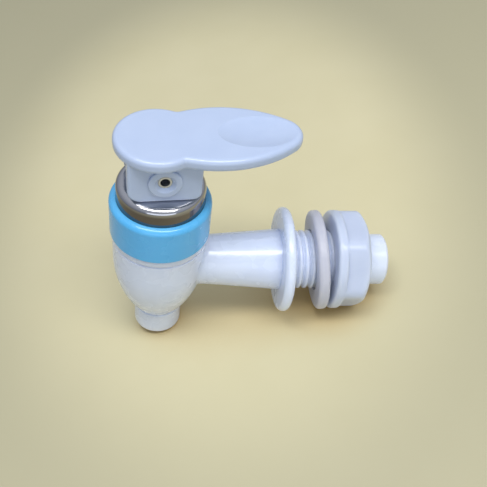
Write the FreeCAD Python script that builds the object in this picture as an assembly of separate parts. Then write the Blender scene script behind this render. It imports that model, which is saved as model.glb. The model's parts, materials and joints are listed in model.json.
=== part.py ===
import FreeCAD, Part
import math
import os

from FreeCAD import Vector

# Lever dispenser tap with a threaded inlet stem, clamped through a tank wall.
# Millimetres. +X runs along the inlet stem into the tank, +Z up the valve axis.
# The origin is the centre of the flange's rear face, where the tank wall seats.

# ---- Inlet tube, flange and threaded stem (lengths along X from the tank wall) ----
REACH = 35.1                # valve axis to the tank wall face
TUBE_RADIUS_VALVE = 6.75    # tube where it leaves the valve chamber
TUBE_RADIUS_FLANGE = 8.35   # tube where it meets the flange
INLET_BORE_RADIUS = 5.2
FLANGE_RADIUS = 14.3
FLANGE_THICKNESS = 2.8
FLANGE_EDGE = 1.3
THREAD_RADIUS = 8.0         # crests; the thread itself is drawn as a plain cylinder
THREAD_LENGTH = 20.9
THREAD_LEAD = 0.9           # lead-in chamfer's length
STEM_LENGTH = 26.8          # tank wall face to the open end of the stem
SPIGOT_RADIUS = 7.0         # plain end of the stem
STEM_END_CHAMFER = 0.6
TUBE_ROOT_FILLET = 1.0

# ---- Valve chamber, neck and spout (heights along Z from the inlet axis) ----
CHAMBER_RADIUS = 12.2
CHAMBER_WALL = 2.2
SWELL_RADIUS = 36.0         # arc that draws the chamber in to the spout
SWELL_TOP = 3.0             # height where that arc starts
BEAD_GROOVE_BOTTOM = 9.7
BEAD_GROOVE_RADIUS = 11.9
BEAD_BOTTOM = 10.2
BEAD_TOP = 12.5
BEAD_RADIUS = 12.4
BEAD_EDGE = 0.7
NECK_RADIUS = 9.6
NECK_BORE_RADIUS = 8.4
NECK_TOP = 21.0
SPOUT_RADIUS = 6.5
SPOUT_ROOT_RADIUS = 6.1     # the chamber's swell ends a little inside the spout's rim
SPOUT_BOTTOM = -24.3
SPOUT_EDGE = 0.5
SPOUT_SHOULDER_EDGE = 0.3
OUTLET_RADIUS = 4.9
SEAT_HEIGHT = -10.0         # top of the valve seat lip
SEAT_LIP_WALL = 0.9
CHAMBER_FLOOR = -12.0

# ---- Bonnet, colour ring and pressed steel cap ----
BONNET_FOOT_TOP = 18.6      # step that carries the steel cap's skirt
BONNET_ROOF = 2.2
BONNET_SPRING_BORE = 7.6
RING_RADIUS = 12.8
RING_TOP = 23.4
RING_SHOULDER = 1.8         # height of the ring's rounded shoulder
RING_SHOULDER_BULGE = 0.52  # how far that shoulder stands out from a plain slope
RING_LIP = 0.15             # flat left round the steel cap
RING_FOOT_EDGE = 0.35
CAP_TOP = 28.4
CAP_RADIUS = 11.05
CAP_SHEET = 0.45
CAP_BEND = 1.6
CAP_HOLE_CLEARANCE = 0.5

# ---- Stem, spring and silicone seal ----
STEM_RADIUS = 3.5
STEM_EYE_FLAT = 3.4         # half thickness of the flattened eye
STEM_COLLAR_RADIUS = 5.4
STEM_COLLAR_TOP = 2.0
STEM_COLLAR_THICKNESS = 1.4
STEM_TAIL_RADIUS = 2.2
STEM_HEAD_RADIUS = 3.6
STEM_HEAD_TOP = -4.6
STEM_HEAD_BOTTOM = -7.4
STEM_HEAD_LEAD = 1.1        # taper that starts the head into the silicone
SEAT_WASHER_RADIUS = 6.2
SEAT_WASHER_THICKNESS = 0.9
SPRING_WIRE_RADIUS = 0.5
SPRING_COIL_RADIUS = 5.3
SPRING_ACTIVE_TURNS = 6.0
SPRING_CLOSED_TURNS = 1.0   # at each end
SPRING_STEPS = 16           # points a turn
SEAL_FLANGE_RADIUS = 9.5
SEAL_FLANGE_THICKNESS = 1.4
SEAL_WALL = 1.1
SEAL_RADIUS = 7.8
SEAL_WAVE = 0.5             # depth of the folds in the sleeve
SEAL_FOLDS = 4
SEAL_SLEEVE_BOTTOM = 0.0
SEAL_PLUG_TOP = -1.6
SEAL_PLUG_RADIUS = 6.3

# ---- Lever and its hollow pin ----
LEVER_SWIVEL = 4.9          # degrees the lever stands turned from the stem
LEVER_TOP = 42.6
LEVER_THICKNESS = 3.4
LEVER_TOP_EDGE = 1.2
LEVER_UNDER_EDGE = 1.4
HEAD_RADIUS = 10.35
HEAD_CENTRE = -1.1
PADDLE_HALF_WIDTH = 10.4
PADDLE_WIDEST = 13.5
PADDLE_SIDE_RADIUS = 29.0
PADDLE_TIP = 33.2
WAIST_RADIUS = 1.5
DISH_CENTRE = 22.2
DISH_HALF_LENGTH = 9.5
DISH_HALF_WIDTH = 5.7
DISH_DEPTH = 1.2
CHEEK_BACK = -8.7
CHEEK_FRONT = 8.8
CHEEK_OUTER = 7.4
CHEEK_INNER = 3.6
CHEEK_BACK_CORNER = 3.2
CHEEK_FRONT_CORNER = 2.2
CHEEK_EDGE = 0.7
PIN_ABOVE_CAP = 6.0
PIN_RADIUS = 1.6
PIN_BORE = 1.15
BOSS_RADIUS = 4.0
BOSS_PROUD = 0.7
BOSS_EDGE = 0.35
BOSS_RECESS_RADIUS = 2.6
BOSS_RECESS_DEPTH = 0.8     # the pin ends flush with its floor

# ---- Sealing washer and clamping nut ----
WASHER_INSET = 0.6          # its rim inside the flange's rim
WASHER_THICKNESS = 3.0
WASHER_BORE_GAP = 0.5       # its bore round the thread
WASHER_LEAN = 6.3           # degrees, top towards the flange
WASHER_CENTRE = 8.4
WASHER_DROP = 0.2           # it hangs on the thread
WASHER_EDGE = 1.1
NUT_FLANGE_INSET = 0.1      # its rim inside the washer's rim
NUT_FLANGE_THICKNESS = 2.6
NUT_FLANGE_EDGE = 0.9
NUT_FLAT_INSET = 1.3        # hexagon's flats inside the flange's rim
NUT_HEX_LENGTH = 6.6
NUT_FACE = 11.3             # face towards the tank wall
NUT_TURN = -2.0             # degrees from flats level
NUT_CHAMFER = 1.6
NUT_END_INSET = 0.2         # round face at the end, inside the flats

# ---- Clearances ----
PRESS_GAP = 0.05            # between fixed pieces that sit in each other
RUNNING_GAP = 0.08          # round pieces that turn or slide on each other
THREAD_GAP = 0.1
TOUCH = 1e-4                # edges nearer than this lie on one plane
OVERCUT = 1.0               # how far a cutting tool runs past the face it opens

VALVE_AXIS = Vector(-REACH, 0, 0)
UP = Vector(0, 0, 1)
ALONG = Vector(1, 0, 0)
ACROSS = Vector(0, 1, 0)
CAP_UNDERSIDE = CAP_TOP - CAP_SHEET
BONNET_TOP = CAP_UNDERSIDE
BONNET_RADIUS = CAP_RADIUS - CAP_SHEET - PRESS_GAP
SPRING_TOP = BONNET_TOP - BONNET_ROOF
SEAL_TOP = NECK_TOP + SEAL_FLANGE_THICKNESS
SPRING_BOTTOM = STEM_COLLAR_TOP + SEAT_WASHER_THICKNESS
PIN_HEIGHT = CAP_TOP + PIN_ABOVE_CAP
LEVER_UNDERSIDE = LEVER_TOP - LEVER_THICKNESS
PIN_HALF_LENGTH = CHEEK_OUTER + BOSS_PROUD - BOSS_RECESS_DEPTH
WASHER_RADIUS = FLANGE_RADIUS - WASHER_INSET
WASHER_BORE_RADIUS = THREAD_RADIUS + WASHER_BORE_GAP
NUT_FLANGE_RADIUS = WASHER_RADIUS - NUT_FLANGE_INSET
NUT_HALF_FLATS = NUT_FLANGE_RADIUS - NUT_FLAT_INSET


def revolve(points, centre, axis):
    """Solid of revolution; an (a, b) pair is a corner, an Arc is kept as it is."""
    face = Part.Face(profile_wire(points))
    return face.revolve(centre, axis, 360)


def profile_wire(items):
    edges = []
    last = None
    first = None
    for item in items:
        if isinstance(item, Vector):
            start, end = item, item
        else:
            start, end = item.StartPoint, item.EndPoint
        if first is None:
            first = start
        if last is not None and last.distanceToPoint(start) > TOUCH:
            edges.append(Part.makeLine(last, start))
        if not isinstance(item, Vector):
            edges.append(item.toShape())
        last = end
    if last.distanceToPoint(first) > TOUCH:
        edges.append(Part.makeLine(last, first))
    return Part.Wire(edges)


def rz(radius, height):
    """A point of a profile that is turned about the valve axis."""
    return Vector(radius, 0, height)


def xr(distance, radius):
    """A point of a profile that is turned about the inlet axis."""
    return Vector(distance, 0, radius)


def corner_arc(start, centre, end):
    """Quarter round from start to end about centre."""
    radius = start.distanceToPoint(centre)
    middle = start.add(end).sub(centre * 2)
    middle.normalize()
    return Part.Arc(start, centre.add(middle * radius), end)


def about_valve(items):
    solid = revolve(items, Vector(0, 0, 0), UP)
    solid.translate(VALVE_AXIS)
    return solid


def about_inlet(items):
    return revolve(items, Vector(0, 0, 0), ALONG)


def swell_height(radius, wall):
    """Height at which the chamber's swell, drawn in by wall, has this radius."""
    swell = SWELL_RADIUS - wall
    inset = CHAMBER_RADIUS - wall - radius
    return SWELL_TOP - math.sqrt(swell ** 2 - (swell - inset) ** 2)


def swell_radius(height, wall):
    swell = SWELL_RADIUS - wall
    fall = SWELL_TOP - height
    return CHAMBER_RADIUS - wall - swell + math.sqrt(swell ** 2 - fall ** 2)


def swell_arc(lower_height, wall):
    """Arc of the chamber wall from lower_height up to the swell's top."""
    middle = (SWELL_TOP + lower_height) / 2
    return Part.Arc(rz(swell_radius(lower_height, wall), lower_height),
                    rz(swell_radius(middle, wall), middle),
                    rz(CHAMBER_RADIUS - wall, SWELL_TOP))


def disc_about_inlet(start, thickness, radius, bore, edge):
    """Round disc on the inlet axis with both outer edges rounded."""
    end = start + thickness
    return about_inlet([
        xr(start, bore),
        corner_arc(xr(start, radius - edge), xr(start + edge, radius - edge), xr(start + edge, radius)),
        corner_arc(xr(end - edge, radius), xr(end - edge, radius - edge), xr(end, radius - edge)),
        xr(end, bore)])


# ---- Tap body: one moulding ----

def chamber_outside():
    shoulder = swell_height(SPOUT_ROOT_RADIUS, 0)
    bead_centre_low = rz(BEAD_RADIUS - BEAD_EDGE, BEAD_BOTTOM + BEAD_EDGE)
    bead_centre_high = rz(BEAD_RADIUS - BEAD_EDGE, BEAD_TOP - BEAD_EDGE)
    return about_valve([
        rz(0, SPOUT_BOTTOM),
        corner_arc(rz(SPOUT_RADIUS - SPOUT_EDGE, SPOUT_BOTTOM),
                   rz(SPOUT_RADIUS - SPOUT_EDGE, SPOUT_BOTTOM + SPOUT_EDGE),
                   rz(SPOUT_RADIUS, SPOUT_BOTTOM + SPOUT_EDGE)),
        corner_arc(rz(SPOUT_RADIUS, shoulder - SPOUT_SHOULDER_EDGE),
                   rz(SPOUT_RADIUS - SPOUT_SHOULDER_EDGE, shoulder - SPOUT_SHOULDER_EDGE),
                   rz(SPOUT_RADIUS - SPOUT_SHOULDER_EDGE, shoulder)),
        swell_arc(shoulder, 0),
        rz(CHAMBER_RADIUS, BEAD_GROOVE_BOTTOM),
        rz(BEAD_GROOVE_RADIUS, BEAD_GROOVE_BOTTOM),
        rz(BEAD_GROOVE_RADIUS, BEAD_BOTTOM),
        corner_arc(rz(BEAD_RADIUS - BEAD_EDGE, BEAD_BOTTOM), bead_centre_low,
                   rz(BEAD_RADIUS, BEAD_BOTTOM + BEAD_EDGE)),
        corner_arc(rz(BEAD_RADIUS, BEAD_TOP - BEAD_EDGE), bead_centre_high,
                   rz(BEAD_RADIUS - BEAD_EDGE, BEAD_TOP)),
        rz(NECK_RADIUS, BEAD_TOP),
        rz(NECK_RADIUS, NECK_TOP),
        rz(0, NECK_TOP)])


def chamber_inside():
    """Water space: neck bore, chamber, the moat round the seat lip, and the outlet."""
    inner = CHAMBER_RADIUS - CHAMBER_WALL
    neck_step = inner - NECK_BORE_RADIUS
    lip_outer = OUTLET_RADIUS + SEAT_LIP_WALL
    return about_valve([
        rz(0, SPOUT_BOTTOM - OVERCUT),
        rz(OUTLET_RADIUS, SPOUT_BOTTOM - OVERCUT),
        rz(OUTLET_RADIUS, SEAT_HEIGHT),
        rz(lip_outer, SEAT_HEIGHT),
        rz(lip_outer, CHAMBER_FLOOR),
        swell_arc(CHAMBER_FLOOR, CHAMBER_WALL),
        rz(inner, BEAD_TOP - neck_step - CHAMBER_WALL),
        rz(NECK_BORE_RADIUS, BEAD_TOP - CHAMBER_WALL),
        rz(NECK_BORE_RADIUS, NECK_TOP + OVERCUT),
        rz(0, NECK_TOP + OVERCUT)])


def inlet_outside():
    flange_start = -FLANGE_THICKNESS
    tube = about_inlet([
        xr(-REACH, 0),
        xr(-REACH, TUBE_RADIUS_VALVE),
        xr(CHAMBER_RADIUS - REACH, TUBE_RADIUS_VALVE),
        xr(flange_start, TUBE_RADIUS_FLANGE),
        xr(flange_start, 0)])
    flange = disc_about_inlet(flange_start, FLANGE_THICKNESS, FLANGE_RADIUS, 0, FLANGE_EDGE)
    stem = about_inlet([
        xr(flange_start, 0),
        xr(flange_start, THREAD_RADIUS),
        xr(THREAD_LENGTH - THREAD_LEAD, THREAD_RADIUS),
        xr(THREAD_LENGTH, SPIGOT_RADIUS),
        xr(STEM_LENGTH - STEM_END_CHAMFER, SPIGOT_RADIUS),
        xr(STEM_LENGTH, SPIGOT_RADIUS - STEM_END_CHAMFER),
        xr(STEM_LENGTH, 0)])
    return tube, flange, stem


def tap_body():
    tube, flange, stem = inlet_outside()
    body = chamber_outside().fuse([tube, flange, stem]).removeSplitter()
    root = [edge for edge in body.Edges if meets_chamber(edge)]
    body = body.makeFillet(TUBE_ROOT_FILLET, root)
    bore = Part.makeCylinder(INLET_BORE_RADIUS, REACH + STEM_LENGTH + OVERCUT, VALVE_AXIS, ALONG)
    return body.cut([chamber_inside(), bore]).removeSplitter()


def meets_chamber(edge):
    """True for the curved edge where the tube grows out of the chamber wall."""
    box = edge.BoundBox
    near_wall = box.XMin > -REACH + CHAMBER_RADIUS / 2 and box.XMax < -REACH + CHAMBER_RADIUS + OVERCUT
    return near_wall and box.ZLength > TUBE_RADIUS_VALVE and box.XLength > TOUCH


# ---- Fixed pieces on the neck ----

def bonnet():
    thread_bore = NECK_RADIUS + THREAD_GAP
    return about_valve([
        rz(thread_bore, BEAD_TOP),
        rz(CAP_RADIUS, BEAD_TOP),
        rz(CAP_RADIUS, BONNET_FOOT_TOP),
        rz(BONNET_RADIUS, BONNET_FOOT_TOP),
        corner_arc(rz(BONNET_RADIUS, BONNET_TOP - CAP_BEND),
                   rz(BONNET_RADIUS - CAP_BEND, BONNET_TOP - CAP_BEND),
                   rz(BONNET_RADIUS - CAP_BEND, BONNET_TOP)),
        rz(STEM_RADIUS + RUNNING_GAP, BONNET_TOP),
        rz(STEM_RADIUS + RUNNING_GAP, SPRING_TOP),
        rz(BONNET_SPRING_BORE, SPRING_TOP),
        rz(BONNET_SPRING_BORE, SEAL_TOP),
        rz(thread_bore, SEAL_TOP)])


def colour_ring():
    bore = CAP_RADIUS + PRESS_GAP
    shoulder_start = rz(RING_RADIUS, RING_TOP - RING_SHOULDER)
    shoulder_end = rz(bore + RING_LIP, RING_TOP)
    slope = shoulder_end.sub(shoulder_start)
    outward = Vector(slope.z, 0, -slope.x).normalize()
    shoulder_middle = (shoulder_start + shoulder_end) * 0.5 + outward * RING_SHOULDER_BULGE
    return about_valve([
        rz(bore, BEAD_TOP),
        corner_arc(rz(RING_RADIUS - RING_FOOT_EDGE, BEAD_TOP),
                   rz(RING_RADIUS - RING_FOOT_EDGE, BEAD_TOP + RING_FOOT_EDGE),
                   rz(RING_RADIUS, BEAD_TOP + RING_FOOT_EDGE)),
        Part.Arc(shoulder_start, shoulder_middle, shoulder_end),
        rz(bore, RING_TOP)])


def steel_cap():
    inner = CAP_RADIUS - CAP_SHEET
    inner_bend = CAP_BEND - CAP_SHEET
    hole = STEM_RADIUS + CAP_HOLE_CLEARANCE
    outer_centre = rz(CAP_RADIUS - CAP_BEND, CAP_TOP - CAP_BEND)
    return about_valve([
        rz(inner, BONNET_FOOT_TOP),
        rz(CAP_RADIUS, BONNET_FOOT_TOP),
        corner_arc(rz(CAP_RADIUS, CAP_TOP - CAP_BEND), outer_centre, rz(CAP_RADIUS - CAP_BEND, CAP_TOP)),
        rz(hole, CAP_TOP),
        rz(hole, CAP_UNDERSIDE),
        corner_arc(rz(inner - inner_bend, CAP_UNDERSIDE), outer_centre, rz(inner, CAP_UNDERSIDE - inner_bend))])


# ---- Silicone sleeve with its plug ----

def seal_sleeve():
    """Flange clamped on the neck, folded sleeve, and a plug that shuts the outlet."""
    head_gap = STEM_HEAD_RADIUS + PRESS_GAP
    tail_gap = STEM_TAIL_RADIUS + PRESS_GAP
    inner = SEAL_RADIUS - SEAL_WALL
    fold = (NECK_TOP - SEAL_SLEEVE_BOTTOM) / SEAL_FOLDS
    outside = [rz(SEAL_RADIUS, SEAL_SLEEVE_BOTTOM)]
    inside = [rz(inner, SEAL_SLEEVE_BOTTOM)]
    for step in range(2 * SEAL_FOLDS):
        height = SEAL_SLEEVE_BOTTOM + fold * (step + 0.5) / 2
        push = SEAL_WAVE if step % 2 else 0
        outside.append(rz(SEAL_RADIUS - push, height))
        inside.append(rz(inner - push, height))
    outside.append(rz(SEAL_RADIUS, NECK_TOP))
    inside.append(rz(inner, SEAL_TOP))
    outer_curve = Part.BSplineCurve()
    outer_curve.interpolate(outside)
    inner_curve = Part.BSplineCurve()
    inner_curve.interpolate(inside[::-1])
    return about_valve([
        rz(0, SEAT_HEIGHT),
        rz(SEAL_PLUG_RADIUS, SEAT_HEIGHT),
        rz(SEAL_PLUG_RADIUS, SEAL_PLUG_TOP - SEAL_WALL),
        outer_curve,
        rz(SEAL_FLANGE_RADIUS, NECK_TOP),
        rz(SEAL_FLANGE_RADIUS, SEAL_TOP),
        inner_curve,
        rz(SEAL_PLUG_RADIUS - SEAL_WALL, SEAL_PLUG_TOP),
        rz(tail_gap, SEAL_PLUG_TOP),
        rz(tail_gap, STEM_HEAD_TOP + PRESS_GAP),
        rz(head_gap, STEM_HEAD_TOP + PRESS_GAP),
        rz(head_gap, STEM_HEAD_BOTTOM - PRESS_GAP),
        rz(0, STEM_HEAD_BOTTOM - PRESS_GAP)])


# ---- Spring with closed ends, and the washer under it ----

def valve_spring():
    wire = 2 * SPRING_WIRE_RADIUS
    free_height = SPRING_TOP - SPRING_BOTTOM - wire
    active_rise = free_height - 2 * SPRING_CLOSED_TURNS * wire
    turns = SPRING_ACTIVE_TURNS + 2 * SPRING_CLOSED_TURNS
    points = []
    for step in range(round(turns * SPRING_STEPS) + 1):
        turn = step / SPRING_STEPS
        active = min(max(turn - SPRING_CLOSED_TURNS, 0), SPRING_ACTIVE_TURNS)
        closed = turn - active
        height = SPRING_BOTTOM + SPRING_WIRE_RADIUS + closed * wire + active * active_rise / SPRING_ACTIVE_TURNS
        angle = 2 * math.pi * turn
        points.append(Vector(SPRING_COIL_RADIUS * math.cos(angle), SPRING_COIL_RADIUS * math.sin(angle), height))
    path = Part.BSplineCurve()
    path.interpolate(points)
    start_direction = path.tangent(path.FirstParameter)[0]
    section = Part.Wire(Part.makeCircle(SPRING_WIRE_RADIUS, points[0], start_direction))
    coil = Part.Wire(path.toShape()).makePipeShell([section], True, True)
    coil.translate(VALVE_AXIS)
    return coil


def spring_seat():
    return about_valve([
        rz(STEM_RADIUS + RUNNING_GAP, STEM_COLLAR_TOP),
        rz(SEAT_WASHER_RADIUS, STEM_COLLAR_TOP),
        rz(SEAT_WASHER_RADIUS, SPRING_BOTTOM),
        rz(STEM_RADIUS + RUNNING_GAP, SPRING_BOTTOM)])


# ---- Stem that the lever pulls ----

def valve_stem():
    collar_bottom = STEM_COLLAR_TOP - STEM_COLLAR_THICKNESS
    rod = about_valve([
        rz(0, STEM_HEAD_BOTTOM),
        rz(STEM_HEAD_RADIUS - STEM_HEAD_LEAD, STEM_HEAD_BOTTOM),
        rz(STEM_HEAD_RADIUS, STEM_HEAD_BOTTOM + STEM_HEAD_LEAD),
        rz(STEM_HEAD_RADIUS, STEM_HEAD_TOP),
        rz(STEM_TAIL_RADIUS, STEM_HEAD_TOP),
        rz(STEM_TAIL_RADIUS, collar_bottom),
        rz(STEM_COLLAR_RADIUS, collar_bottom),
        rz(STEM_COLLAR_RADIUS, STEM_COLLAR_TOP),
        rz(STEM_RADIUS, STEM_COLLAR_TOP),
        rz(STEM_RADIUS, PIN_HEIGHT),
        rz(0, PIN_HEIGHT)])
    eye = Part.makeCylinder(STEM_RADIUS, 2 * STEM_EYE_FLAT,
                            VALVE_AXIS + Vector(0, -STEM_EYE_FLAT, PIN_HEIGHT), ACROSS)
    limits = Part.makeCylinder(STEM_RADIUS, 2 * STEM_RADIUS, VALVE_AXIS + Vector(0, 0, PIN_HEIGHT - STEM_RADIUS), UP)
    blank = Part.makeBox(4 * STEM_RADIUS, STEM_RADIUS, 4 * STEM_RADIUS)
    stem = rod.fuse(eye.common(limits))
    for side in (STEM_EYE_FLAT, -STEM_EYE_FLAT - STEM_RADIUS):
        trim = blank.copy()
        trim.translate(VALVE_AXIS + Vector(-2 * STEM_RADIUS, side, CAP_TOP))
        stem = stem.cut(trim)
    pin_hole = Part.makeCylinder(PIN_RADIUS, 4 * STEM_RADIUS,
                                 VALVE_AXIS + Vector(0, -2 * STEM_RADIUS, PIN_HEIGHT), ACROSS)
    return swivelled(stem.cut(pin_hole).removeSplitter())


def swivelled(shape):
    """Turn a piece of the lever group to where the lever stands."""
    shape.rotate(VALVE_AXIS, UP, LEVER_SWIVEL)
    return shape


def lever_pin():
    start = VALVE_AXIS + Vector(0, -PIN_HALF_LENGTH, PIN_HEIGHT)
    tube = Part.makeCylinder(PIN_RADIUS, 2 * PIN_HALF_LENGTH, start, ACROSS)
    return swivelled(tube.cut(Part.makeCylinder(PIN_BORE, 2 * PIN_HALF_LENGTH, start, ACROSS)))


# ---- Lever: paddle and two cheeks in one moulding ----

def paddle_outline():
    """Tip arc that runs smoothly into the two side arcs, closed at the head."""
    side_centre = PADDLE_SIDE_RADIUS - PADDLE_HALF_WIDTH
    reach = PADDLE_TIP - PADDLE_WIDEST
    tip_radius = ((PADDLE_SIDE_RADIUS ** 2 - side_centre ** 2 - reach ** 2)
                  / (2 * (PADDLE_SIDE_RADIUS - reach)))
    tip_centre = PADDLE_TIP - tip_radius
    slope = math.atan2(side_centre, tip_centre - PADDLE_WIDEST)
    joint_x = PADDLE_WIDEST + PADDLE_SIDE_RADIUS * math.cos(slope)
    joint_y = PADDLE_SIDE_RADIUS * math.sin(slope) - side_centre
    root_y = math.sqrt(PADDLE_SIDE_RADIUS ** 2 - PADDLE_WIDEST ** 2) - side_centre
    upper = Part.Arc(Vector(0, root_y, 0), Vector(PADDLE_WIDEST, PADDLE_HALF_WIDTH, 0), Vector(joint_x, joint_y, 0))
    tip = Part.Arc(Vector(joint_x, joint_y, 0), Vector(PADDLE_TIP, 0, 0), Vector(joint_x, -joint_y, 0))
    lower = Part.Arc(Vector(joint_x, -joint_y, 0), Vector(PADDLE_WIDEST, -PADDLE_HALF_WIDTH, 0),
                     Vector(0, -root_y, 0))
    return Part.Wire([upper.toShape(), tip.toShape(), lower.toShape(),
                      Part.makeLine(Vector(0, -root_y, 0), Vector(0, root_y, 0))])


def lever_plate():
    paddle = Part.Face(paddle_outline()).extrude(Vector(0, 0, LEVER_THICKNESS))
    head = Part.makeCylinder(HEAD_RADIUS, LEVER_THICKNESS, Vector(HEAD_CENTRE, 0, 0), UP)
    plate = paddle.fuse(head).removeSplitter()
    waists = [edge for edge in plate.Edges if len(edge.Vertexes) == 2
              and abs(edge.Vertexes[0].X - edge.Vertexes[1].X) < TOUCH
              and abs(edge.Vertexes[0].Z - edge.Vertexes[1].Z) > LEVER_THICKNESS / 2
              and edge.Vertexes[0].X < PADDLE_WIDEST]
    plate = plate.makeFillet(WAIST_RADIUS, waists)
    top = [edge for edge in plate.Edges if min(v.Z for v in edge.Vertexes) > LEVER_THICKNESS / 2]
    plate = plate.makeFillet(LEVER_TOP_EDGE, top)
    under = [edge for edge in plate.Edges if edge.BoundBox.ZMax < TOUCH]
    plate = plate.makeFillet(LEVER_UNDER_EDGE, under)
    plate.translate(Vector(0, 0, LEVER_UNDERSIDE))
    return plate


def thumb_dish():
    """Spindle that leaves a long shallow dish in the top of the paddle."""
    turn_radius = (DISH_HALF_WIDTH ** 2 + DISH_DEPTH ** 2) / (2 * DISH_DEPTH)
    axis_height = LEVER_TOP - DISH_DEPTH + turn_radius
    rim = turn_radius - DISH_DEPTH
    arc = Part.Arc(Vector(DISH_CENTRE - DISH_HALF_LENGTH, 0, axis_height - rim),
                   Vector(DISH_CENTRE, 0, axis_height - turn_radius),
                   Vector(DISH_CENTRE + DISH_HALF_LENGTH, 0, axis_height - rim))
    face = Part.Face(profile_wire([
        Vector(DISH_CENTRE - DISH_HALF_LENGTH, 0, axis_height), arc,
        Vector(DISH_CENTRE + DISH_HALF_LENGTH, 0, axis_height)]))
    return face.revolve(Vector(0, 0, axis_height), ALONG, 360)


def cheek(side):
    """One ear of the fork, side -1 or 1, with its boss and recess."""
    height = LEVER_UNDERSIDE + LEVER_THICKNESS / 2 - CAP_TOP
    blank = Part.makeBox(CHEEK_FRONT - CHEEK_BACK, CHEEK_OUTER - CHEEK_INNER, height,
                         Vector(CHEEK_BACK, CHEEK_INNER, CAP_TOP))
    foot = [edge for edge in blank.Edges if edge.BoundBox.ZMax < CAP_TOP + TOUCH and edge.BoundBox.XLength < TOUCH]
    back = [edge for edge in foot if edge.BoundBox.XMax < 0]
    blank = blank.makeFillet(CHEEK_BACK_CORNER, back)
    front = [edge for edge in blank.Edges if edge.BoundBox.ZMax < CAP_TOP + TOUCH
             and edge.BoundBox.XLength < TOUCH and edge.BoundBox.XMin > PIN_RADIUS]
    blank = blank.makeFillet(CHEEK_FRONT_CORNER, front)
    rim = [edge for edge in blank.Edges if edge.BoundBox.YMin > CHEEK_OUTER - TOUCH
           and edge.BoundBox.ZMin < LEVER_UNDERSIDE]
    blank = blank.makeFillet(CHEEK_EDGE, rim)
    boss = Part.makeCylinder(BOSS_RADIUS, CHEEK_OUTER - CHEEK_INNER + BOSS_PROUD,
                             Vector(0, CHEEK_INNER, PIN_HEIGHT), ACROSS)
    boss = boss.makeFillet(BOSS_EDGE, [edge for edge in boss.Edges
                                       if edge.BoundBox.YMin > CHEEK_OUTER and edge.BoundBox.XLength > BOSS_RADIUS])
    ear = blank.fuse(boss)
    face = CHEEK_OUTER + BOSS_PROUD
    recess = Part.makeCone(PIN_RADIUS + RUNNING_GAP, BOSS_RECESS_RADIUS, BOSS_RECESS_DEPTH,
                           Vector(0, face - BOSS_RECESS_DEPTH, PIN_HEIGHT), ACROSS)
    hole = Part.makeCylinder(PIN_RADIUS + RUNNING_GAP, face, Vector(0, 0, PIN_HEIGHT), ACROSS)
    ear = ear.cut([recess, hole])
    return ear if side > 0 else ear.mirror(Vector(0, 0, 0), ACROSS)


def lever():
    plate = lever_plate().cut(thumb_dish())
    shape = plate.fuse([cheek(-1), cheek(1)]).removeSplitter()
    shape.translate(VALVE_AXIS)
    return swivelled(shape)


# ---- Washer and nut that clamp the tank wall ----

def sealing_washer():
    disc = disc_about_inlet(-WASHER_THICKNESS / 2, WASHER_THICKNESS, WASHER_RADIUS, WASHER_BORE_RADIUS, WASHER_EDGE)
    disc.rotate(Vector(0, 0, 0), ACROSS, -WASHER_LEAN)
    disc.translate(Vector(WASHER_CENTRE, 0, -WASHER_DROP))
    return disc


def mounting_nut():
    bore = THREAD_RADIUS + THREAD_GAP
    hex_start = NUT_FACE + NUT_FLANGE_THICKNESS
    end = hex_start + NUT_HEX_LENGTH
    corner = NUT_HALF_FLATS * 2 / math.sqrt(3)
    corners = [Vector(NUT_FACE + NUT_FLANGE_THICKNESS / 2,
                      corner * math.cos(math.radians(60 * step)), corner * math.sin(math.radians(60 * step)))
               for step in range(7)]
    prism = Part.Face(Part.makePolygon(corners)).extrude(Vector(end - corners[0].x, 0, 0))
    turned = about_inlet([
        xr(NUT_FACE, 0),
        xr(NUT_FACE, corner),
        xr(end - NUT_CHAMFER, corner),
        xr(end, NUT_HALF_FLATS - NUT_END_INSET),
        xr(end, 0)])
    flange = disc_about_inlet(NUT_FACE, NUT_FLANGE_THICKNESS, NUT_FLANGE_RADIUS, 0, NUT_FLANGE_EDGE)
    nut = prism.common(turned).fuse(flange)
    nut = nut.cut(Part.makeCylinder(bore, end - NUT_FACE + 2 * OVERCUT, Vector(NUT_FACE - OVERCUT, 0, 0), ALONG))
    nut = nut.removeSplitter()
    nut.rotate(Vector(0, 0, 0), ALONG, NUT_TURN)
    return nut


NODES = {
    "tap_body": tap_body,
    "bonnet": bonnet,
    "colour_ring": colour_ring,
    "steel_cap": steel_cap,
    "seal_sleeve": seal_sleeve,
    "valve_spring": valve_spring,
    "spring_seat": spring_seat,
    "valve_stem": valve_stem,
    "lever_pin": lever_pin,
    "lever": lever,
    "sealing_washer": sealing_washer,
    "mounting_nut": mounting_nut,
}

os.makedirs("parts", exist_ok=True)
for name, make in NODES.items():
    shape = make()
    shape.exportStep(os.path.join("parts", name + ".step"))
    box = shape.BoundBox
    print(name, shape.ShapeType, len(shape.Solids), shape.isValid(), "volume %.1f" % shape.Volume,
          "box %.2f %.2f %.2f to %.2f %.2f %.2f" % (box.XMin, box.YMin, box.ZMin, box.XMax, box.YMax, box.ZMax))
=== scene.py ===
import json
import math

import bpy
import bmesh
from mathutils import Matrix, Vector


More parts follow.
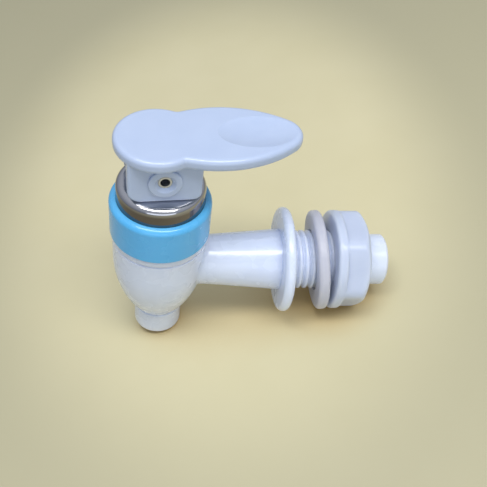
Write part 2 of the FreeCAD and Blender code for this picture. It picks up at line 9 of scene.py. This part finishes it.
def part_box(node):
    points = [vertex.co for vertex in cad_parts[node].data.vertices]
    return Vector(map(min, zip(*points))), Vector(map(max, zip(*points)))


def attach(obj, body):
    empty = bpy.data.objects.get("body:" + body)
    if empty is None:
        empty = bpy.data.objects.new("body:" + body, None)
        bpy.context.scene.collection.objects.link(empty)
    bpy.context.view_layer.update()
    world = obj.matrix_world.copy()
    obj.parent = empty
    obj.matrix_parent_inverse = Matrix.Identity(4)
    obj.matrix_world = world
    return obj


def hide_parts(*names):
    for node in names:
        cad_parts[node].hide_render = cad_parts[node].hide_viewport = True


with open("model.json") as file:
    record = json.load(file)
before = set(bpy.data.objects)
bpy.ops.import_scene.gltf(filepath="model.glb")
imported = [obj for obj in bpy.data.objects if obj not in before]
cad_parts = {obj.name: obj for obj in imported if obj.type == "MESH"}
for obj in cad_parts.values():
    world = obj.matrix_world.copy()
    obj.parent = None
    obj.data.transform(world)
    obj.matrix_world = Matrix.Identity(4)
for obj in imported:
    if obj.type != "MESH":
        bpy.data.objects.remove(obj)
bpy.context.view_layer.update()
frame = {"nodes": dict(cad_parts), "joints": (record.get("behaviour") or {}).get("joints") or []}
MM = 0.001

# ---- Places that everything else is worked out from ----
joints = {joint["name"]: joint for joint in frame["joints"]}
VALVE_X = joints["lever_swivel"]["pos_m"][0]
FLOOR_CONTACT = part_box("tap_body")[0][2]     # the spout's lowest point
CAP_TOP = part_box("steel_cap")[1][2]

# ---- Camera: place, aim and roll found for the photograph's view ----
CAMERA_PLACE = Vector((-0.0401, -0.1330, 0.1500))
CAMERA_AIM = Vector((-0.01312, -0.00169, 0.008))
CAMERA_ROLL = math.radians(8.69)
CAMERA_LENS = 54.7          # millimetres on a sensor 36 mm wide
SENSOR_WIDTH = 36

# ---- Floor: the loose tap lies on its spout rim and its nut ----
REST_TILT = math.radians(13.9)
SPOUT_RIM = 6.0 * MM        # from the valve axis to the rim that touches the floor
LIGHT_POOL_CENTRE = (-0.020, 0.062, 0)    # painted light falloff: the card is painted darker away from here
LIGHT_POOL_FADE = (0.070, 0.135)
LIGHT_POOL_STRETCH = (1.5, 1, 0)         # the painted falloff deepens faster along X than along Y
CARD_LOW = (0.61, 0.555, 0.345)
CARD_HIGH = (0.64, 0.585, 0.375)
# painted shade of the light falloff: the card's colour far from the pool of light
PAINTED_FALLOFF_EDGE = (0.43, 0.40, 0.26)
PAINTED_SHADE_UNDER_TAP = (0.50, 0.34, 0.13)     # painted shade: warm dark colour close under the tap
PAINTED_SHADE_REACH = 0.03
PAINTED_SHADE_DEPTH = (0.2, 0.75)
FLOOR_HALF = 1.2

# ---- Thread on the inlet stem ----
THREAD_PITCH = 1.8 * MM
THREAD_CREST = 8.0 * MM
THREAD_ROOT = 7.05 * MM
THREAD_NECK = 0.8 * MM      # plain neck behind the flange
THREAD_FADE = 0.8 * MM      # over this length the first turn rises from the neck
THREAD_END = 20.9 * MM
THREAD_LEAD = 0.9 * MM
SPIGOT_RADIUS = 7.0 * MM
THREAD_PHASE = 0.55         # where round the stem the crest starts, in turns
THREAD_AROUND = 96
THREAD_STEPS = 168
THREAD_SHARP = 35            # degrees; steeper edges stay sharp
SLACK = 0.02 * MM

# ---- Nut ----
nut_low, nut_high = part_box("mounting_nut")
NUT_TURN = math.radians(-2)
NUT_HALF_FLATS = 12.3 * MM
NUT_RADIUS = 13.6 * MM
NUT_FLANGE = 1.9 * MM      # flat part of the flange's rim ends here
NUT_EDGE = 0.9 * MM
NUT_CHAMFER = 2.2 * MM
NUT_CORNER_PROUD = 1.5 * MM  # chamfer starts this far outside the flats
NUT_END_INSET = 0.7 * MM
NUT_BLEND = 0.5 * MM
NUT_BORE = 8.1 * MM
HEX_SHARPNESS = 26         # the higher, the smaller the hexagon's corner radius
NUT_STEPS = 64
NUT_SHARP = 50             # degrees


def place_camera():
    camera = bpy.data.objects.new("camera", bpy.data.cameras.new("camera"))
    camera.data.lens = CAMERA_LENS
    camera.data.sensor_width = SENSOR_WIDTH
    camera.data.clip_start = 0.01
    aim = (CAMERA_AIM - CAMERA_PLACE).to_track_quat("-Z", "Y").to_matrix().to_4x4()
    camera.matrix_world = Matrix.Translation(CAMERA_PLACE) @ aim @ Matrix.Rotation(CAMERA_ROLL, 4, "Z")
    bpy.context.collection.objects.link(camera)
    bpy.context.scene.camera = camera


# ---- Materials ----
MIX_A, MIX_B, MIX_RESULT = 6, 7, 2      # a colour Mix node's sockets
CAP_SHOULDER = 1.3 * MM                 # below the cap's top the crown's tone gives way to the painted reflection and shade on the skirt
FINE_GRAIN = 0.00002
STEEL_GRAIN = 0.000004
CARD_GRAIN = 0.00004


def new_material(name):
    material = bpy.data.materials.new(name)
    material.use_nodes = True
    nodes = material.node_tree.nodes
    return material, nodes, material.node_tree.links, nodes["Principled BSDF"]


def colour_cloud(nodes, links, low, high, scale):
    """Slow change between two near colours; returns the colour and the coordinates."""
    place = nodes.new("ShaderNodeTexCoord")
    noise = nodes.new("ShaderNodeTexNoise")
    noise.inputs["Scale"].default_value = scale
    noise.inputs["Detail"].default_value = 3
    ramp = nodes.new("ShaderNodeValToRGB")
    ramp.color_ramp.elements[0].position = 0.3
    ramp.color_ramp.elements[0].color = (*low, 1)
    ramp.color_ramp.elements[1].position = 0.7
    ramp.color_ramp.elements[1].color = (*high, 1)
    links.new(place.outputs["Object"], noise.inputs["Vector"])
    links.new(noise.outputs["Fac"], ramp.inputs["Fac"])
    return ramp.outputs["Color"], place


def surface_grain(nodes, links, shader, place, scale, depth, rough_low, rough_high):
    """Fine bump, and roughness that follows a coarser noise."""
    fine = nodes.new("ShaderNodeTexNoise")
    fine.inputs["Scale"].default_value = scale
    fine.inputs["Detail"].default_value = 4
    bump = nodes.new("ShaderNodeBump")
    bump.inputs["Strength"].default_value = 0.3
    bump.inputs["Distance"].default_value = depth
    coarse = nodes.new("ShaderNodeTexNoise")
    coarse.inputs["Scale"].default_value = scale / 6
    spread = nodes.new("ShaderNodeMapRange")
    spread.inputs["From Min"].default_value = 0.2
    spread.inputs["From Max"].default_value = 0.8
    spread.inputs["To Min"].default_value = rough_low
    spread.inputs["To Max"].default_value = rough_high
    links.new(place.outputs["Object"], fine.inputs["Vector"])
    links.new(place.outputs["Object"], coarse.inputs["Vector"])
    links.new(fine.outputs["Fac"], bump.inputs["Height"])
    links.new(bump.outputs["Normal"], shader.inputs["Normal"])
    links.new(coarse.outputs["Fac"], spread.inputs["Value"])
    links.new(spread.outputs["Result"], shader.inputs["Roughness"])


def plastic(name, low, high, rough=(0.24, 0.30), milky=0.0, depth_mm=3.0, coat=0.25):
    material, nodes, links, shader = new_material(name)
    colour, place = colour_cloud(nodes, links, low, high, 120)
    links.new(colour, shader.inputs["Base Color"])
    surface_grain(nodes, links, shader, place, 900, FINE_GRAIN, *rough)
    shader.inputs["Subsurface Weight"].default_value = milky
    shader.inputs["Subsurface Radius"].default_value = (1.0, 1.0, 1.0)
    shader.inputs["Subsurface Scale"].default_value = depth_mm * MM
    shader.inputs["Coat Weight"].default_value = coat
    shader.inputs["Coat Roughness"].default_value = 0.1
    shader.inputs["IOR"].default_value = 1.49
    return material


def steel(name, low, high, rough):
    material, nodes, links, shader = new_material(name)
    colour, place = colour_cloud(nodes, links, low, high, 60)
    links.new(colour, shader.inputs["Base Color"])
    surface_grain(nodes, links, shader, place, 1400, STEEL_GRAIN, *rough)
    shader.inputs["Metallic"].default_value = 1.0
    return material, nodes, links, shader, colour, place


def cap_with_painted_skirt(name, skirt, crown, edge_z, rough):
    """Pressed sheet steel: the skirt below edge_z is painted browner and darker than the crown, a painted
    reflection of the floor and painted shade.
    """
    material, nodes, links, shader, colour, place = steel(name, crown[0], crown[1], rough)
    split = nodes.new("ShaderNodeSeparateXYZ")
    height = nodes.new("ShaderNodeMapRange")
    height.inputs["From Min"].default_value = edge_z - 0.7 * MM
    height.inputs["From Max"].default_value = edge_z + 0.5 * MM
    mix = nodes.new("ShaderNodeMix")
    mix.data_type = "RGBA"
    # painted reflection and shade: the skirt's dark brown colour
    mix.inputs[MIX_A].default_value = (*skirt, 1)
    links.new(place.outputs["Object"], split.inputs["Vector"])
    links.new(split.outputs["Z"], height.inputs["Value"])
    links.new(height.outputs["Result"], mix.inputs[0])
    links.new(colour, mix.inputs[MIX_B])
    links.new(mix.outputs[MIX_RESULT], shader.inputs["Base Color"])
    return material


body_white = plastic("body_white", (0.60, 0.67, 0.86), (0.64, 0.71, 0.90), milky=0.7, depth_mm=5.0)
lever_white = plastic("lever_white", (0.39, 0.47, 0.64), (0.41, 0.49, 0.66), rough=(0.27, 0.32), milky=0.2)
ring_blue = plastic("ring_blue", (0.08, 0.40, 0.75), (0.10, 0.43, 0.79), milky=0.15)
nut_white = plastic("nut_white", (0.47, 0.53, 0.67), (0.51, 0.57, 0.71), rough=(0.30, 0.38), milky=0.8,
                    depth_mm=5.0)
silicone = plastic("silicone", (0.45, 0.46, 0.53), (0.49, 0.50, 0.57), rough=(0.38, 0.46), milky=0.9,
                   depth_mm=5.0, coat=0.05)
inner_white = plastic("inner_white", (0.66, 0.68, 0.72), (0.70, 0.72, 0.76))
# the skirt colour (0.17, 0.15, 0.15) is a painted reflection of the floor and painted shade
cap_steel = cap_with_painted_skirt("cap_steel", (0.17, 0.15, 0.15), ((0.45, 0.45, 0.48), (0.50, 0.50, 0.53)),
                      CAP_TOP - CAP_SHOULDER, (0.09, 0.14))
wire_steel = steel("wire_steel", (0.42, 0.42, 0.43), (0.50, 0.50, 0.51), (0.18, 0.28))[0]
pin_steel = steel("pin_steel", (0.55, 0.57, 0.62), (0.62, 0.64, 0.69), (0.30, 0.40))[0]

FINISH = {
    "tap_body": body_white, "bonnet": inner_white, "colour_ring": ring_blue, "steel_cap": cap_steel,
    "seal_sleeve": silicone, "valve_spring": wire_steel, "spring_seat": wire_steel, "valve_stem": inner_white,
    "lever_pin": pin_steel, "lever": lever_white, "sealing_washer": silicone, "mounting_nut": nut_white,
}
for node, material in FINISH.items():
    slots = frame["nodes"][node].data.materials
    slots.clear()
    slots.append(material)


# ---- Tap body with its thread cut ----

def smooth_step(value):
    value = min(max(value, 0.0), 1.0)
    return value * value * (3 - 2 * value)


def thread_radius(x, turn):
    """Right-hand thread with rounded crests; turn goes round the stem from +Y to +Z."""
    phase = (x / THREAD_PITCH - turn + THREAD_PHASE) % 1.0
    from_crest = abs(phase - 0.5) * 2
    rise = smooth_step((0.85 - from_crest) / 0.6) * smooth_step((x - THREAD_NECK) / THREAD_FADE)
    radius = THREAD_ROOT + (THREAD_CREST - THREAD_ROOT) * rise
    lead = THREAD_CREST - (THREAD_CREST - SPIGOT_RADIUS) * (x - THREAD_END + THREAD_LEAD) / THREAD_LEAD
    return min(radius, lead)


def stem_ring(mesh, x, radius_at):
    ring = []
    for step in range(THREAD_AROUND):
        turn = step / THREAD_AROUND
        radius = radius_at(x, turn)
        angle = 2 * math.pi * turn
        ring.append(mesh.verts.new((x, radius * math.cos(angle), radius * math.sin(angle))))
    return ring


def join_rings(mesh, first, second):
    faces = []
    for step in range(THREAD_AROUND):
        after = (step + 1) % THREAD_AROUND
        faces.append(mesh.faces.new((first[step], first[after], second[after], second[step])))
    return faces


def shade_round(faces, sharp_from):
    """Smooth shading, with a sharp edge where two faces meet at more than sharp_from degrees."""
    for face in faces:
        face.smooth = True
    for edge in {edge for face in faces for edge in face.edges}:
        edge.smooth = edge.calc_face_angle(0) < math.radians(sharp_from)


def on_plain_thread(face):
    """True for the faces of the plain cylinder and chamfer that stand for the thread."""
    xs = [vert.co.x for vert in face.verts]
    radii = [math.hypot(vert.co.y, vert.co.z) for vert in face.verts]
    inside = min(xs) > -SLACK and max(xs) < THREAD_END + SLACK and max(xs) - min(xs) > SLACK
    return inside and min(radii) > SPIGOT_RADIUS - SLACK and max(radii) < THREAD_CREST + SLACK


def threaded_body():
    source = frame["nodes"]["tap_body"]
    data = source.data.copy()
    data.transform(source.matrix_world)
    mesh = bmesh.new()
    mesh.from_mesh(data)
    plain = [face for face in mesh.faces if on_plain_thread(face)]
    bmesh.ops.delete(mesh, geom=plain, context="FACES")
    last = stem_ring(mesh, 0.0, lambda place, turn: THREAD_CREST)
    sleeve = []
    for step in range(THREAD_STEPS + 1):
        ring = stem_ring(mesh, THREAD_END * step / THREAD_STEPS, thread_radius)
        sleeve += join_rings(mesh, last, ring)
        last = ring
    shade_round(sleeve, THREAD_SHARP)
    mesh.to_mesh(data)
    mesh.free()
    body = bpy.data.objects.new("threaded_tap_body", data)
    bpy.context.collection.objects.link(body)
    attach(body, "tap")
    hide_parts("tap_body")


# ---- Nut with the soft edges of a moulding ----

def soft_larger(first, second, blend):
    """The larger of two radii, rounded over where they cross."""
    gap = (first - second) / blend
    if abs(gap) > 1:
        return max(first, second)
    return max(first, second) + blend * (1 - abs(gap)) ** 2 / 4


def soft_hexagon(angle):
    """Radius of the hexagon at this angle, its corners rounded."""
    pull = sum(max(math.cos(angle - NUT_TURN - math.radians(30 + 60 * side)), 0) ** HEX_SHARPNESS
               for side in range(6))
    return NUT_HALF_FLATS / pull ** (1 / HEX_SHARPNESS)


def nut_radius(x, angle):
    """Outer radius of the nut; x runs from the face towards the tank wall to the far end."""
    flange = 0
    if x < NUT_FLANGE + NUT_EDGE:
        off_edge = max(NUT_EDGE - x, x - NUT_FLANGE, 0) / NUT_EDGE
        flange = NUT_RADIUS - NUT_EDGE * (1 - math.sqrt(max(1 - off_edge ** 2, 0)))
    length = nut_high[0] - nut_low[0]
    fall = max(x - length + NUT_CHAMFER, 0) / NUT_CHAMFER
    chamfer = NUT_HALF_FLATS + NUT_CORNER_PROUD - (NUT_CORNER_PROUD + NUT_END_INSET) * fall ** 2
    hexagon = -soft_larger(-soft_hexagon(angle), -chamfer, NUT_BLEND) if x > NUT_EDGE else 0
    return soft_larger(flange, hexagon, NUT_BLEND) if flange and hexagon else max(flange, hexagon)


def moulded_nut():
    mesh = bmesh.new()
    length = nut_high[0] - nut_low[0]
    bore = [stem_ring(mesh, x, lambda place, turn: NUT_BORE) for x in (nut_low[0], nut_high[0])]
    last = bore[0]
    for step in range(NUT_STEPS + 1):
        x = length * step / NUT_STEPS
        ring = stem_ring(mesh, nut_low[0] + x, lambda place, turn: nut_radius(x, 2 * math.pi * turn))
        join_rings(mesh, last, ring)
        last = ring
    join_rings(mesh, last, bore[1])
    join_rings(mesh, bore[1], bore[0])
    bmesh.ops.recalc_face_normals(mesh, faces=mesh.faces)
    shade_round(mesh.faces, NUT_SHARP)
    data = bpy.data.meshes.new("moulded_nut")
    mesh.to_mesh(data)
    mesh.free()
    data.materials.append(nut_white)
    nut = bpy.data.objects.new("moulded_nut", data)
    bpy.context.collection.objects.link(nut)
    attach(nut, "nut")
    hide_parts("mounting_nut")


# ---- Floor and light ----
SKY_BELOW = (0.40, 0.43, 0.50)
SKY_ABOVE = (0.86, 0.91, 1.0)
SKY_STRENGTH = 0.75
KEY_LIGHT = {"place": (-0.05, -0.12, 0.42), "aim": (-0.02, 0, 0), "size": (0.42, 0.11), "power": 1.6,
             "colour": (1, 0.99, 0.97)}
FRONT_FILL = {"place": (-0.03, -0.40, 0.10), "aim": (-0.02, 0, 0), "size": (0.50, 0.16), "power": 0.35,
              "colour": (0.86, 0.92, 1.0)}


def floor_level(x):
    """Height of the floor below a point of the X axis."""
    return FLOOR_CONTACT + (x - VALVE_X - SPOUT_RIM) * math.tan(REST_TILT)


def make_floor():
    floor_mesh = bpy.data.meshes.new("floor")
    corners = [(-FLOOR_HALF, -FLOOR_HALF), (FLOOR_HALF, -FLOOR_HALF), (FLOOR_HALF, FLOOR_HALF),
               (-FLOOR_HALF, FLOOR_HALF)]
    floor_mesh.from_pydata([(x, y, floor_level(x)) for x, y in corners], [], [(0, 1, 2, 3)])
    floor = bpy.data.objects.new("floor", floor_mesh)
    bpy.context.collection.objects.link(floor)
    material, nodes, links, shader = new_material("pale_card")
    colour, place = colour_cloud(nodes, links, CARD_LOW, CARD_HIGH, 30)
    # Painted light falloff: away from the pool's centre, the card is mixed towards the painted dark edge
    # colour.
    squeeze = nodes.new("ShaderNodeVectorMath")
    squeeze.operation = "MULTIPLY"
    squeeze.inputs[1].default_value = LIGHT_POOL_STRETCH
    reach = nodes.new("ShaderNodeVectorMath")
    reach.operation = "DISTANCE"
    reach.inputs[1].default_value = LIGHT_POOL_CENTRE
    fade = nodes.new("ShaderNodeMapRange")
    fade.interpolation_type = "SMOOTHSTEP"
    fade.inputs["From Min"].default_value = LIGHT_POOL_FADE[0]
    fade.inputs["From Max"].default_value = LIGHT_POOL_FADE[1]
    mix = nodes.new("ShaderNodeMix")
    mix.data_type = "RGBA"
    mix.inputs[MIX_B].default_value = (*PAINTED_FALLOFF_EDGE, 1)
    # Painted shade: where ambient occlusion is strong, close under the tap, the card is mixed towards a warm
    # dark brown.
    shade_occlusion = nodes.new("ShaderNodeAmbientOcclusion")
    shade_occlusion.inputs["Distance"].default_value = PAINTED_SHADE_REACH
    depth = nodes.new("ShaderNodeMapRange")
    depth.inputs["From Min"].default_value = PAINTED_SHADE_DEPTH[0]
    depth.inputs["From Max"].default_value = PAINTED_SHADE_DEPTH[1]
    painted_shade_mix = nodes.new("ShaderNodeMix")
    painted_shade_mix.data_type = "RGBA"
    painted_shade_mix.inputs[MIX_A].default_value = (*PAINTED_SHADE_UNDER_TAP, 1)
    links.new(place.outputs["Object"], squeeze.inputs[0])
    links.new(squeeze.outputs["Vector"], reach.inputs[0])
    links.new(reach.outputs["Value"], fade.inputs["Value"])
    links.new(fade.outputs["Result"], mix.inputs[0])
    links.new(colour, mix.inputs[MIX_A])
    links.new(mix.outputs[MIX_RESULT], painted_shade_mix.inputs[MIX_B])
    links.new(shade_occlusion.outputs["AO"], depth.inputs["Value"])
    links.new(depth.outputs["Result"], painted_shade_mix.inputs[0])
    links.new(painted_shade_mix.outputs[MIX_RESULT], shader.inputs["Base Color"])
    surface_grain(nodes, links, shader, place, 500, CARD_GRAIN, 0.6, 0.75)
    floor_mesh.materials.append(material)


def area_light(name, place, aim, size, power, colour):
    light = bpy.data.lights.new(name, "AREA")
    light.shape = "RECTANGLE"
    light.size, light.size_y = size
    light.energy = power
    light.color = colour
    lamp = bpy.data.objects.new(name, light)
    turn = (Vector(aim) - Vector(place)).to_track_quat("-Z", "Y").to_matrix().to_4x4()
    lamp.matrix_world = Matrix.Translation(place) @ turn
    bpy.context.collection.objects.link(lamp)


def make_world():
    """Overcast sky: bright overhead, dimmer towards and below the horizon."""
    world = bpy.data.worlds.new("studio")
    world.use_nodes = True
    nodes = world.node_tree.nodes
    links = world.node_tree.links
    place = nodes.new("ShaderNodeTexCoord")
    split = nodes.new("ShaderNodeSeparateXYZ")
    ramp = nodes.new("ShaderNodeValToRGB")
    ramp.color_ramp.elements[0].position = 0.0
    ramp.color_ramp.elements[0].color = (*SKY_BELOW, 1)
    ramp.color_ramp.elements[1].position = 0.9
    ramp.color_ramp.elements[1].color = (*SKY_ABOVE, 1)
    links.new(place.outputs["Generated"], split.inputs["Vector"])
    links.new(split.outputs["Z"], ramp.inputs["Fac"])
    links.new(ramp.outputs["Color"], nodes["Background"].inputs["Color"])
    nodes["Background"].inputs["Strength"].default_value = SKY_STRENGTH
    bpy.context.scene.world = world


threaded_body()
moulded_nut()
make_floor()
make_world()
area_light("ceiling_window", **KEY_LIGHT)
area_light("front_fill", **FRONT_FILL)
bpy.context.scene.view_settings.view_transform = "Standard"
place_camera()
